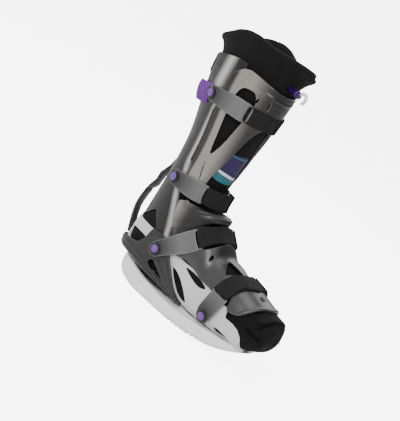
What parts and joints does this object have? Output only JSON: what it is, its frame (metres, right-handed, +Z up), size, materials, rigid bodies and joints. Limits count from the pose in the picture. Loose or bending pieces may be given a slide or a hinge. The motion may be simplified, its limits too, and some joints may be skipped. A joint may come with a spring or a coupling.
{
  "type": "medical walking boot",
  "caption": "Tall rigid walking boot for a hurt lower leg: a padded liner held between front and rear shells by straps, on a curved rocker sole",
  "frame": {"origin": "on the ground plane, straight below the ankle hub axis, midway across the boot", "axes": "+X to the toes, +Y to the left side, +Z up from the ground to the collar"},
  "size_m": [0.3575, 0.16, 0.452],
  "materials": {
    "sole": "off-white moulded rubber, satin",
    "foot_shell": "light grey moulded shell, satin",
    "rear_shell": "gunmetal grey metallic lacquer, semi-gloss",
    "front_shell": "warm grey metallic lacquer, semi-gloss",
    "instep_shell": "dark gunmetal metallic lacquer, semi-gloss",
    "liner": "charcoal padded knit",
    "strap_arm": "mid grey satin plastic",
    "web": "dark grey woven webbing",
    "button": "light purple satin plastic",
    "band": "purple woven band",
    "label": "dark purple woven patch",
    "valve_knob": "deep violet plastic",
    "valve_hose": "white soft plastic tube",
    "rivet": "pale grey domed rivet"
  },
  "bodies": {
    "root": {"rocker_sole": "sole", "foot_shell": "foot_shell", "heel_frame": "rear_shell", "calf_shell": "rear_shell", "back_spine": "rear_shell", "back_strut": "rear_shell", "strut_latch": "rear_shell", "shin_shell": "front_shell", "label_patch": "label", "calf_band": "band", "gaiter_plate": "front_shell", "gaiter_middle": "front_shell", "gaiter_lower": "front_shell", "rivet_right": "rivet", "rivet_left": "rivet", "instep_shell": "instep_shell", "toe_visor": "instep_shell", "liner": "liner", "toe_wrap": "liner", "strap_top_arm_right": "strap_arm", "button_top_right": "button", "strap_top_arm_left": "strap_arm", "button_top_left": "button", "strap_top_web": "web", "strap_low_arm_right": "strap_arm", "button_low_right": "button", "strap_low_arm_left": "strap_arm", "button_low_left": "button", "strap_low_web": "web", "strap_ankle_arm_right": "strap_arm", "button_ankle_right": "button", "strap_ankle_arm_left": "strap_arm", "button_ankle_left": "button", "strap_ankle_web": "web", "strap_toe_arm_right": "strap_arm", "button_toe_right": "button", "strap_toe_arm_left": "strap_arm", "button_toe_left": "button", "strap_toe_web": "web", "valve_knob": "valve_knob", "valve_hose": "valve_hose"}
  },
  "joints": []
}
